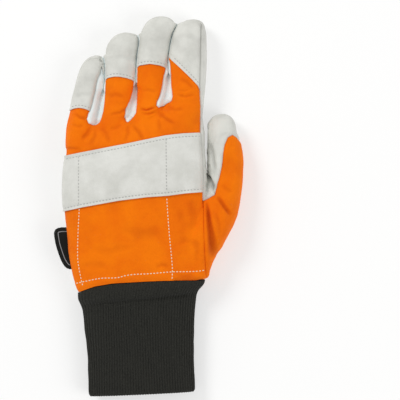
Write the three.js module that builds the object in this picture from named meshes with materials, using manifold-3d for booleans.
// A chainsaw glove for the left hand, lying palm down with its thumb beside it.
// Sizes in millimetres, +Z up through the back of the hand, +Y to the fingertips, +X to the thumb.
// Every panel is cut out of one hollow hand, so that neighbours follow the same surface.
import * as THREE from "three";
import Module from "manifold-3d";

const wasm = await Module();
wasm.setup();

// ---- Named sizes ----
const palmWidth = 109;
const palmLength = 124;
const palmThick = 35;
const leatherThick = 1.6;
const capRaise = 0.5;
const overlayThick = 1.2;
const ribRise = 0.8;
const ribWidth = 2.6;
const gap = 0.3;
const fingerGap = 1.2;
const cuffWidth = 83;
const cuffLength = 83;
const cuffThick = 23;
const knitThick = 2.5;
const labelThick = 1.2;
const sideSeamHeight = 15;
const thumbSeamHeight = 13;
const fourchetteFloor = 7;

// ---- Sizes that follow from them ----
const palmLift = gap + overlayThick + ribRise;
const tall = 2 * palmThick;
const below = -2 * palmLift;
const wristReach = 5 * palmLift;
const patchTop = sideSeamHeight * 0.73;
const thumbWidth = 0.243 * palmWidth;
const fingerDrift = 0.0688 * palmWidth;
const corners = { palm: 26, finger: 15, thumb: 16, cuff: 20 };

const colors = { leather: 0xd9dad3, orange: 0xf27a0a, knit: 0x2a2b29, label: 0x1e1f1e };

// Turns short rows of numbers into a table with named columns.
function table(columns, ...rows) {
  const names = columns.split(" ");
  return rows.map((row) => Object.fromEntries(names.map((name, index) => [name, row[index]])));
}

// Reads one column of a table between its rows; the ends hold their value.
function read(rows, column, along) {
  const step = rows[0].along < rows[1].along ? 1 : -1;
  let before = rows[0];
  for (const row of rows) {
    if ((row.along - along) * step >= 0) {
      const span = row.along - before.along;
      const share = span === 0 ? 0 : (along - before.along) / span;
      return before[column] + Math.max(0, Math.min(1, share)) * (row[column] - before[column]);
    }
    before = row;
  }
  return before[column];
}

// Palm from the wrist seam (along 0) to the webs between the fingers: both edges as shares of
// its width, the middle's height and the depth as shares of its thickness, and the slant.
const palmRows = table("along left right slant height thick",
  [-0.02, -0.405, 0.496, 0.106, 0.44, 0.77],
  [0, -0.405, 0.496, 0.106, 0.44, 0.77],
  [0.1, -0.436, 0.503, 0.108, 0.455, 0.84],
  [0.23, -0.464, 0.506, 0.11, 0.475, 0.91],
  [0.37, -0.477, 0.5, 0.12, 0.5, 0.96],
  [0.5, -0.494, 0.496, 0.13, 0.515, 1],
  [0.64, -0.504, 0.503, 0.14, 0.53, 1.02],
  [0.79, -0.496, 0.5, 0.16, 0.53, 1.01],
  [0.9, -0.48, 0.489, 0.18, 0.505, 0.93],
  [0.97, -0.462, 0.475, 0.2, 0.48, 0.82],
  [1.02, -0.45, 0.462, 0.2, 0.46, 0.66],
  [1.045, -0.44, 0.45, 0.2, 0.45, 0.5]);

// The fingers' common bend towards the thumb, from their roots on.
const driftRows = table("along drift", [0, 0], [0.18, 0.6], [0.34, 0.86], [0.52, 1], [0.7, 1.05]);

// Each finger from its root line: width and shift as shares of its own width. Its tip starts
// to round at a share of its length, and the last rows say how far it leans.
const fingers = {
  little: { width: 0.1725 * palmWidth, length: 0.4274 * palmLength, tip: 0.63,
    rows: table("along width shift height thick",
      [-0.35, 1, 0, 0.98, 1.2], [0, 1.09, -0.01, 0.86, 1.26], [0.37, 1.15, -0.105, 0.67, 1.22],
      [0.53, 1.155, -0.07, 0.6, 1.19], [0.63, 1.11, -0.025, 0.57, 1.17], [0.8, 1.07, 0.03, 0.55, 1.14],
      [1, 1.02, 0.09, 0.54, 1.12]) },
  ring: { width: 0.2165 * palmWidth, length: 0.5685 * palmLength, tip: 0.8,
    rows: table("along width shift height thick",
      [-0.35, 1, 0, 0.76, 1.08], [0, 0.97, 0, 0.68, 1.12], [0.26, 0.96, 0, 0.57, 1.1],
      [0.46, 0.985, 0, 0.5, 1.06], [0.8, 1.03, 0, 0.46, 0.98], [0.89, 1, 0.05, 0.455, 0.97],
      [1, 1, 0.1, 0.45, 0.96]) },
  middle: { width: 0.2239 * palmWidth, length: 0.6694 * palmLength, tip: 0.78,
    rows: table("along width shift height thick",
      [-0.3, 1, 0, 0.73, 1.08], [0, 0.96, 0, 0.67, 1.12], [0.27, 0.9, 0, 0.56, 1.08],
      [0.45, 0.925, -0.035, 0.51, 1.06], [0.6, 0.93, -0.04, 0.48, 1.03], [0.78, 0.95, 0.03, 0.455, 0.99],
      [0.91, 0.95, 0.16, 0.45, 0.98], [1, 0.95, 0.17, 0.45, 0.97]) },
  index: { width: 0.2532 * palmWidth, length: 0.6492 * palmLength, tip: 0.8,
    rows: table("along width shift height thick",
      [-0.3, 1.05, 0, 0.63, 0.98], [0, 1.08, 0.03, 0.58, 1.02], [0.16, 1.04, 0.02, 0.53, 1],
      [0.28, 1, 0, 0.49, 0.98], [0.62, 1.02, -0.035, 0.445, 0.93], [0.8, 0.92, -0.012, 0.425, 0.89],
      [1, 0.93, 0.055, 0.42, 0.87]) },
};

// Thumb beside the palm, along the palm's own length: shift from the palm's edge, width,
// height and thickness as shares of the thumb's width.
const thumbRows = table("along shift width height thick lift",
  [0.065, -0.2, 0.52, 0.57, 0.72, 1],
  [0.146, -0.2, 0.81, 0.585, 0.9, 1],
  [0.232, -0.13, 1.13, 0.6, 1.06, 1],
  [0.307, -0.02, 1.3, 0.6, 1.14, 1],
  [0.387, 0.16, 1.35, 0.58, 1.14, 0.9],
  [0.461, 0.31, 1.26, 0.55, 1.1, 0.6],
  [0.554, 0.48, 1.07, 0.52, 1.04, 0.2],
  [0.628, 0.56, 1.01, 0.5, 1.02, 0],
  [0.715, 0.58, 1.01, 0.485, 1, 0],
  [0.827, 0.577, 0.98, 0.465, 0.95, 0],
  [0.895, 0.536, 0.9, 0.45, 0.91, 0],
  [0.953, 0.487, 0.8, 0.435, 0.87, 0]);
const thumbEnd = 1.064;

// Knit cuff from the wrist seam (along 0) to its open end (along 1).
const cuffRows = table("along left right slant height thick",
  [0, -0.527, 0.647, 0.106, 0.66, 1.13],
  [0.035, -0.522, 0.628, 0.108, 0.645, 1.13],
  [0.13, -0.498, 0.572, 0.118, 0.575, 1.12],
  [0.165, -0.486, 0.56, 0.124, 0.52, 1.08],
  [0.2, -0.482, 0.556, 0.122, 0.52, 1.1],
  [0.34, -0.468, 0.548, 0.11, 0.5, 1.09],
  [0.6, -0.442, 0.541, 0.08, 0.485, 1.08],
  [0.85, -0.433, 0.546, 0.055, 0.48, 1.08],
  [1, -0.43, 0.555, 0.045, 0.48, 1.08]);

const wristY = -palmLength * 0.436;
const rootY = wristY + palmLength;

// Where the fingers' middles sit at the root line, set side by side with their gaps.
function placeFingers() {
  const list = Object.values(fingers);
  const total = list.reduce((sum, finger) => sum + finger.width, 0) + (list.length - 1) * fingerGap;
  let edge = -total / 2;
  for (const finger of list) {
    finger.root = edge + finger.width / 2;
    edge += finger.width + fingerGap;
  }
}
placeFingers();

// A rounded section: a superellipse whose underside is pressed flat at the given height.
function section(shape, grow, count, squareness) {
  const points = [];
  for (let index = 0; index < count; index++) {
    const turn = (2 * Math.PI * (index + 0.5)) / count;
    const power = (value) => Math.sign(value) * Math.abs(value) ** (2 / squareness);
    const x = shape.middle + (shape.half + grow) * power(Math.cos(turn));
    const z = shape.height + (shape.rise + grow) * power(Math.sin(turn));
    const pressed = Math.max(z, shape.floor - Math.min(grow, shape.floor));
    points.push([x, shape.y + shape.slant * (x - shape.middle), grow < 0 ? Math.max(z, shape.floor - grow) : pressed]);
  }
  return points;
}

function palmShape(along) {
  const left = read(palmRows, "left", along) * palmWidth;
  const right = read(palmRows, "right", along) * palmWidth;
  return {
    middle: (left + right) / 2,
    half: (right - left) / 2,
    y: wristY + along * palmLength,
    slant: read(palmRows, "slant", along),
    height: read(palmRows, "height", along) * palmThick,
    rise: (read(palmRows, "thick", along) * palmThick) / 2,
    floor: palmLift,
  };
}

function fingerShape(finger, along) {
  const y = rootY + along * finger.length;
  const drift = fingerDrift * read(driftRows, "drift", (y - rootY) / palmLength);
  return {
    middle: finger.root + drift + read(finger.rows, "shift", along) * finger.width,
    half: (read(finger.rows, "width", along) * finger.width) / 2,
    y,
    slant: 0,
    height: read(finger.rows, "height", along) * finger.width,
    rise: (read(finger.rows, "thick", along) * finger.width) / 2,
    floor: palmLift * Math.max(0, Math.min(1, 1 - (along - 0.05) / 0.25)),
  };
}

function thumbShape(along) {
  return {
    middle: 0.5 * palmWidth + read(thumbRows, "shift", along) * thumbWidth,
    half: (read(thumbRows, "width", along) * thumbWidth) / 2,
    y: wristY + along * palmLength,
    slant: 0,
    height: read(thumbRows, "height", along) * thumbWidth,
    rise: (read(thumbRows, "thick", along) * thumbWidth) / 2,
    floor: palmLift * read(thumbRows, "lift", along),
  };
}

function cuffShape(along) {
  const left = read(cuffRows, "left", along) * cuffWidth;
  const right = read(cuffRows, "right", along) * cuffWidth;
  return {
    middle: (left + right) / 2,
    half: (right - left) / 2,
    y: wristY - gap - along * cuffLength,
    slant: read(cuffRows, "slant", along),
    height: read(cuffRows, "height", along) * cuffThick,
    rise: (read(cuffRows, "thick", along) * cuffThick) / 2,
    floor: 0,
  };
}

// Sections that round off to a tip: from its start to its end, the section shrinks.
function tipSections(shapeAt, start, end, unit, grow, count) {
  const rings = [];
  const reach = (end - start) * unit + grow;
  for (const share of [0.4, 0.72, 0.92, 0.99]) {
    const shape = shapeAt(start);
    const far = shapeAt(Math.min(end, start + (share * reach) / unit));
    const shrink = (1 - share ** 2.1) ** (1 / 2.1);
    rings.push(section({
      ...far,
      y: shape.y + share * reach,
      half: (far.half + grow) * shrink - grow,
      rise: (far.rise + grow) * shrink - grow,
      height: far.height - (1 - shrink) * far.rise * 0.25,
    }, grow, count, 2.2));
  }
  return rings;
}

// Turns rings of points, from the first to the last, into one closed solid.
function loft(rings) {
  const count = rings[0].length;
  const points = rings.flat();
  const triangles = [];
  for (let ring = 0; ring + 1 < rings.length; ring++) {
    for (let index = 0; index < count; index++) {
      const a = ring * count + index;
      const b = ring * count + ((index + 1) % count);
      triangles.push([a, b, b + count], [a, b + count, a + count]);
    }
  }
  for (const [ring, flip] of [[0, true], [rings.length - 1, false]]) {
    const start = ring * count;
    const centre = points.length;
    const sum = rings[ring].reduce((total, p) => total.map((v, i) => v + p[i] / count), [0, 0, 0]);
    points.push(sum);
    for (let index = 0; index < count; index++) {
      const a = start + index;
      const b = start + ((index + 1) % count);
      triangles.push(flip ? [b, a, centre] : [a, b, centre]);
    }
  }
  return solid(points, triangles);
}

function solid(points, triangles) {
  const volume = triangles.reduce((sum, [a, b, c]) => {
    const [p, q, r] = [points[a], points[b], points[c]];
    return sum + p[0] * (q[1] * r[2] - q[2] * r[1]) - p[1] * (q[0] * r[2] - q[2] * r[0])
      + p[2] * (q[0] * r[1] - q[1] * r[0]);
  }, 0);
  const ordered = volume > 0 ? triangles : triangles.map(([a, b, c]) => [a, c, b]);
  return new wasm.Manifold(new wasm.Mesh({
    numProp: 3,
    vertProperties: new Float32Array(points.flat()),
    triVerts: new Uint32Array(ordered.flat()),
  }));
}

// Extra length of the palm and the cuff beyond a cut end, so that hollows come out open.
function palmSolid(grow, extra = 0) {
  const rings = palmRows.slice(1).map((row) => row.along);
  const last = rings.length - 1;
  rings[last] += grow / palmLength;
  const list = rings.map((along, index) =>
    section({ ...palmShape(index === last ? palmRows.at(-1).along : along),
      y: wristY + along * palmLength }, grow, corners.palm, 2.5));
  const first = palmShape(0);
  const start = extra > 0 ? [section({ ...first, y: first.y - extra }, grow, corners.palm, 2.5)] : [];
  return loft([...start, ...list]);
}

function fingerSolid(finger, grow) {
  const stations = finger.rows.map((row) => row.along).filter((along) => along <= finger.tip);
  const extra = [0.16].filter((along) => !stations.includes(along));
  const list = [...stations, ...extra].sort((a, b) => a - b);
  const start = finger.tip;
  const shapeAt = (along) => fingerShape(finger, along);
  return loft([
    ...list.map((along) => section(shapeAt(along), grow, corners.finger, 2.2)),
    ...tipSections(shapeAt, start, 1, finger.length, grow, corners.finger),
  ]);
}

function thumbSolid(grow) {
  const stations = thumbRows.map((row) => row.along);
  return loft([
    ...stations.map((along) => section(thumbShape(along), grow, corners.thumb, 2.2)),
    ...tipSections(thumbShape, stations.at(-1), thumbEnd, palmLength, grow, corners.thumb),
  ]);
}

// The whole hand, grown outward or inward by a given distance.
function hand(grow, extra = 0) {
  let body = palmSolid(grow, extra);
  for (const finger of Object.values(fingers)) body = body.add(fingerSolid(finger, grow));
  return body.add(thumbSolid(grow));
}

// A point of an outline in plan, from its place across and along the part that it is on.
function spot([on, across, along]) {
  const shape = on === "palm" ? palmShape(along)
    : on === "thumb" ? thumbShape(along)
    : fingerShape(fingers[on], along);
  const x = shape.middle + across * shape.half;
  return [x, shape.y + shape.slant * (x - shape.middle)];
}

// A closed outline from runs of such points; a corner that two runs share is kept once.
function outline(...parts) {
  const points = parts.flatMap(([on, ...pairs]) => pairs.map(([across, along]) => spot([on, across, along])));
  return points.filter(([x, y], index) => {
    const [lastX, lastY] = points[(index + points.length - 1) % points.length];
    return Math.hypot(x - lastX, y - lastY) > gap / 2;
  });
}

function area(points) {
  return points.reduce((sum, [x, y], index) => {
    const [nextX, nextY] = points[(index + 1) % points.length];
    return sum + (x * nextY - nextX * y) / 2;
  }, 0);
}

// Moves every corner of an outline outward, along the mean of its two sides' normals.
function swell(points, distance) {
  const side = area(points) > 0 ? 1 : -1;
  return points.map((point, index) => {
    const before = points[(index + points.length - 1) % points.length];
    const after = points[(index + 1) % points.length];
    const normal = (a, b) => {
      const length = Math.hypot(b[0] - a[0], b[1] - a[1]) || 1;
      return [(side * (b[1] - a[1])) / length, (-side * (b[0] - a[0])) / length];
    };
    const one = normal(before, point);
    const two = normal(point, after);
    const sum = [one[0] + two[0], one[1] + two[1]];
    const reach = Math.max(0.6, (sum[0] ** 2 + sum[1] ** 2) / 2);
    return [point[0] + (sum[0] * distance) / reach, point[1] + (sum[1] * distance) / reach];
  });
}

// An upright block over an outline, between two heights.
function block(points, low, high, grown = 0) {
  const turned = area(points) > 0 ? points : [...points].reverse();
  const plan = grown > 0 ? swell(turned, grown) : turned;
  const count = plan.length;
  const faces = THREE.ShapeUtils.triangulateShape(plan.map(([x, y]) => new THREE.Vector2(x, y)), []);
  const places = [...plan.map(([x, y]) => [x, y, low]), ...plan.map(([x, y]) => [x, y, high])];
  const triangles = [];
  for (const [a, b, c] of faces) triangles.push([c, b, a], [a + count, b + count, c + count]);
  for (let index = 0; index < count; index++) {
    const next = (index + 1) % count;
    triangles.push([index, next, next + count], [index, next + count, index + count]);
  }
  return solid(places, triangles);
}

// ---- Outlines of the panels, as places across (-1 to 1) and along each part ----
const sideSeam = [
  ["index", [0.605, 1.3], [0.605, 0.966], [0.605, 0.646], [0.672, 0.38], [0.821, 0.218], [0.9, 0.113]],
  ["palm", [0.941, 0.873], [0.944, 0.761], [0.957, 0.625], [0.967, 0.469]],
];
const sideSeamLow = [["palm", [0.967, 0.469], [0.961, 0.326], [0.963, 0.206], [0.984, 0.101],
  [1.017, -0.003], [1.02, -0.15]]];
const thumbSeam = [["thumb", [-0.474, 0.591], [-0.384, 0.665], [-0.235, 0.745], [-0.159, 0.826],
  [-0.038, 0.869], [0.269, 0.915], [0.652, 0.932], [0.888, 0.92], [1.021, 0.894], [2.5, 0.894]]];
const thumbUnderSeam = [["thumb", [-1.058, 0.591], [-0.796, 0.69], [-0.585, 0.776], [-0.34, 0.844],
  [0.096, 0.897], [0.604, 0.915], [1.021, 0.894], [2.5, 0.894]]];
const palmUnderSeam = [["palm", [0.133, -0.15], [0.165, 0.002], [0.354, 0.154], [0.59, 0.314],
  [0.803, 0.436], [0.985, 0.525]]];
const indexWeb = [["palm", [1.131, 0.5], [1.023, 0.618], [1.015, 0.663], [1.028, 0.826], [1.054, 0.935],
  [1.08, 1.2]]];
const farRight = [["palm", [2, 1.2], [2, -0.15]]];

const backOutline = outline(["palm", [-1.6, -0.15], [-1.6, 1.2], [-1.6, 1.8]], ...sideSeam, ...sideSeamLow);

const littleRing = outline(
  ["little", [0.524, 1.04], [0.713, 0.945], [0.801, 0.827], [0.705, 0.749], [0.556, 0.655],
    [0.523, 0.592], [0.49, 0.461], [0.461, 0.33], [0.406, 0.207], [0.331, 0.142]],
  ["palm", [-0.703, 1.087], [-0.678, 1.059], [-0.615, 1.046], [-0.552, 1.048], [-0.52, 1.062]],
  ["ring", [-0.837, 0.132], [-0.895, 0.251], [-0.935, 0.368], [-0.95, 0.477], [-0.95, 0.629],
    [-0.93, 0.781], [-0.932, 0.912], [-1.1, 0.95]]);

const ringMiddle = outline(
  ["ring", [1.1, 0.95], [0.92, 0.912], [0.899, 0.803], [0.929, 0.629], [0.94, 0.455], [0.94, 0.368],
    [0.913, 0.281], [0.849, 0.197], [0.752, 0.139], [0.757, 0.079]],
  ["palm", [-0.139, 1.033], [-0.118, 1.022], [-0.074, 1.034], [-0.027, 1.052]],
  ["middle", [-0.788, 0.102], [-0.885, 0.156], [-0.936, 0.229], [-0.94, 0.313], [-0.94, 0.405],
    [-0.95, 0.534], [-0.94, 0.682], [-0.91, 0.812], [-1.0, 0.92]]);

const middleIndex = outline(
  ["middle", [0.98, 0.93], [0.928, 0.812], [0.933, 0.682], [0.892, 0.534], [0.85, 0.451],
    [0.821, 0.387], [0.791, 0.313], [0.651, 0.237], [0.536, 0.185]],
  ["palm", [0.329, 1.075], [0.365, 1.068]],
  ["index", [-1.065, 0.179], [-0.841, 0.237], [-0.885, 0.322], [-0.93, 0.465], [-0.94, 0.608],
    [-0.94, 0.703], [-0.918, 0.818], [-0.98, 0.93]]);

const capOutlines = {
  little_cap: outline(["little", [-1.875, 0.171], [-1.13, 0.189], [-0.806, 0.215], [-0.476, 0.226],
    [-0.094, 0.215], [0.426, 0.18], [0.892, 0.2], [1.1, 0.374], [1.08, 1.3], [-1.875, 1.3]]),
  ring_cap: outline(["ring", [-1.03, 0.477], [-0.743, 0.498], [-0.395, 0.511], [-0.038, 0.509],
    [0.438, 0.495], [0.774, 0.475], [1.03, 0.45], [1.05, 1.3], [-1.05, 1.3]]),
  middle_cap: outline(["middle", [-1.05, 0.513], [-0.87, 0.537], [-0.252, 0.55], [0.383, 0.535],
    [0.835, 0.51], [1.05, 0.49], [1.05, 1.3], [-1.05, 1.3]]),
  index_cap: outline(["index", [-1.05, 0.619], [-0.636, 0.551], [-0.217, 0.484], [0.211, 0.418],
    [0.552, 0.356], [1.2, 0.24], [1.3, 1.3], [-1.05, 1.3]]),
};

const frontOutlines = {
  ring_front: outline(
    ["palm", [-0.565, 1.084], [-0.536, 1.032], [-0.433, 1.002], [-0.287, 0.983], [-0.17, 0.985],
      [-0.118, 1.021]],
    ["ring", [1.04, 0.15], [1.04, 1.3], [-1.04, 1.3], [-1.04, 0.2]]),
  middle_front: outline(
    ["palm", [-0.09, 1.032], [-0.067, 0.967], [0.035, 0.922], [0.18, 0.899], [0.325, 0.903],
      [0.375, 0.955], [0.387, 1.04]],
    ["middle", [1.04, 0.25], [1.04, 1.3], [-1.04, 1.3], [-1.04, 0.15]]),
};

const bandOutline = outline(["palm", [-1.2, 0.516], [-0.992, 0.516], [-0.721, 0.527], [-0.223, 0.538],
  [0.173, 0.537], [0.472, 0.528], [0.71, 0.529], [0.955, 0.522], [0.95, 0.625], [0.935, 0.761],
  [0.928, 0.874], [0.677, 0.886], [0.435, 0.891], [-0.134, 0.882], [-0.661, 0.879], [-1.006, 0.877],
  [-1.2, 0.877]]);

const patchOutline = outline(["palm", [-1.25, 1.0], [0.868, 0.848], [0.673, 0.701], [0.493, 0.574],
  [-1.19, 0.679]]);

// Stitched ribs across the patch: both ends of each one's middle line.
const ribs = table("left leftAlong right rightAlong",
  [-0.6, 1.022, 0.29, 0.915],
  [-0.6, 0.983, 0.46, 0.868],
  [-0.48, 0.9, 0.47, 0.769],
  [-0.48, 0.869, 0.47, 0.741],
  [-0.42, 0.773, 0.47, 0.655],
  [-0.42, 0.744, 0.47, 0.627]);

const labelOutline = outline(["palm", [-1.196, 0.396], [-1.135, 0.417], [-0.9, 0.414], [-0.9, 0.15],
  [-1.082, 0.162], [-1.115, 0.194], [-1.164, 0.293]]);

// Keeps the largest separate body of a cut piece and drops slivers.
function largest(piece) {
  const mesh = piece.getMesh();
  const parent = Array.from({ length: mesh.vertProperties.length / mesh.numProp }, (_, index) => index);
  const find = (index) => {
    while (parent[index] !== index) index = parent[index] = parent[parent[index]];
    return index;
  };
  const triangles = [];
  for (let start = 0; start < mesh.triVerts.length; start += 3) {
    triangles.push([...mesh.triVerts.slice(start, start + 3)]);
  }
  for (const [a, b, c] of triangles) {
    parent[find(a)] = find(b);
    parent[find(b)] = find(c);
  }
  const groups = new Map();
  for (const triangle of triangles) {
    const key = find(triangle[0]);
    groups.set(key, [...(groups.get(key) ?? []), triangle]);
  }
  const best = [...groups.values()].sort((a, b) => b.length - a.length)[0];
  const points = [];
  const places = new Map();
  const ordered = best.map((triangle) => triangle.map((vertex) => {
    if (!places.has(vertex)) {
      places.set(vertex, points.length);
      points.push([...mesh.vertProperties.slice(vertex * mesh.numProp, vertex * mesh.numProp + 3)]);
    }
    return places.get(vertex);
  }));
  return { points, triangles: ordered };
}

const group = new THREE.Group();

function addPiece(name, piece, color, roughness) {
  const { points, triangles } = largest(piece);
  const geometry = new THREE.BufferGeometry();
  geometry.setAttribute("position", new THREE.Float32BufferAttribute(points.flat(), 3));
  geometry.setIndex(triangles.flat());
  geometry.computeVertexNormals();
  const mesh = new THREE.Mesh(geometry, new THREE.MeshStandardMaterial({ color, roughness }));
  mesh.name = name;
  group.add(mesh);
}

// Cuts a panel out of the leather and keeps a clear gap between it and what is left.
function takePanel(rest, cutter, cutterWithGap, skin = rest) {
  return [skin.intersect(cutter), rest.subtract(cutterWithGap)];
}

function makePanels() {
  const inside = hand(-leatherThick, wristReach);
  let rest = hand(0).subtract(inside);
  const raised = hand(capRaise).subtract(inside);
  const high = sideSeamHeight;
  let panel;

  for (const [name, plan] of [["little_ring_fourchette", littleRing],
    ["ring_middle_fourchette", ringMiddle], ["middle_index_fourchette", middleIndex]]) {
    [panel, rest] = takePanel(rest, block(plan, fourchetteFloor, tall),
      block(plan, fourchetteFloor - gap, tall, gap));
    addPiece(name, panel, colors.leather, 0.8);
  }

  const fourchettes = [littleRing, ringMiddle, middleIndex]
    .map((plan) => block(plan, fourchetteFloor - gap, tall, gap))
    .reduce((all, one) => all.add(one));
  const back = block(backOutline, high, tall);
  for (const [name, plan] of Object.entries(capOutlines)) {
    const capBlock = block(plan, high, tall).intersect(back);
    panel = raised.subtract(fourchettes).intersect(capBlock);
    rest = rest.subtract(block(plan, high - gap, tall, gap).intersect(block(backOutline, high - gap, tall, gap)));
    addPiece(name, panel, colors.leather, 0.8);
  }

  [panel, rest] = takePanel(rest, back, block(backOutline, high - gap, tall, gap));
  addPiece("back_fabric", panel, colors.orange, 0.7);

  const thumbTop = outline(...sideSeamLow.map(([on, ...pairs]) => [on, ...pairs.reverse()]),
    ["palm", [1.131, 0.5]], ...thumbSeam, ...farRight);
  const thumbUnder = outline(...palmUnderSeam, ...thumbUnderSeam, ...farRight);
  const lower = thumbSeamHeight;
  [panel, rest] = takePanel(rest,
    block(thumbTop, lower, tall).add(block(thumbUnder, below, lower + gap / 10)),
    block(thumbTop, lower - gap, tall, gap).add(block(thumbUnder, below, lower + gap, gap)));
  addPiece("thumb_back", panel, colors.orange, 0.7);

  const thumbSide = outline(...indexWeb, ["palm", [2, 1.25], [2, 0.5]]);
  [panel, rest] = takePanel(rest, block(thumbSide, below, tall), block(thumbSide, below, tall, gap));
  addPiece("thumb_leather", panel, colors.leather, 0.8);

  for (const [name, plan] of Object.entries(frontOutlines)) {
    [panel, rest] = takePanel(rest, block(plan, below, high), block(plan, below, high + gap, gap));
    addPiece(name, panel, colors.leather, 0.8);
  }
  addPiece("palm_leather", rest, colors.leather, 0.8);
}

// Leather layers laid on the hand: the knuckle band above and the ribbed patch below.
function makeOverlays() {
  const layer = hand(gap + overlayThick).subtract(hand(gap));
  addPiece("knuckle_band", layer.intersect(block(bandOutline, sideSeamHeight + leatherThick / 2, tall)), colors.leather, 0.75);
  let patch = layer.intersect(block(patchOutline, below, patchTop));
  const ribLayer = hand(palmLift).subtract(hand(gap + overlayThick / 2));
  for (const rib of ribs) {
    const start = spot(["palm", rib.left, rib.leftAlong]);
    const end = spot(["palm", rib.right, rib.rightAlong]);
    const reach = Math.hypot(end[0] - start[0], end[1] - start[1]);
    const side = [(-(end[1] - start[1]) * ribWidth) / 2 / reach, ((end[0] - start[0]) * ribWidth) / 2 / reach];
    const bar = block([[start[0] + side[0], start[1] + side[1]], [start[0] - side[0], start[1] - side[1]],
      [end[0] - side[0], end[1] - side[1]], [end[0] + side[0], end[1] + side[1]]], below, 2 * palmLift);
    patch = patch.add(ribLayer.intersect(bar));
  }
  addPiece("palm_patch", patch, colors.leather, 0.75);
}

function makeCuff() {
  const stations = cuffRows.map((row) => row.along);
  const outer = loft(stations.map((along) => section(cuffShape(along), 0, corners.cuff, 2.3)));
  const inner = loft([-0.1, ...stations, 1.1].map((along) => {
    const shape = cuffShape(Math.max(0, Math.min(1, along)));
    return section({ ...shape, y: wristY - gap - along * cuffLength }, -knitThick, corners.cuff, 2.3);
  }));
  addPiece("knit_cuff", outer.subtract(inner), colors.knit, 0.95);
}

function makeLabel() {
  const middle = sideSeamHeight + 1.2;
  const plate = block(labelOutline, middle, middle + labelThick);
  addPiece("side_label", plate.subtract(hand(gap)), colors.label, 0.9);
}

// Moves everything so that the origin is the middle of the footprint, on the floor.
function centreFootprint() {
  const box = new THREE.Box3().setFromObject(group);
  const middle = box.getCenter(new THREE.Vector3());
  for (const mesh of group.children) mesh.geometry.translate(-middle.x, -middle.y, -box.min.z);
}

makePanels();
makeOverlays();
makeCuff();
makeLabel();
centreFootprint();

export default group;
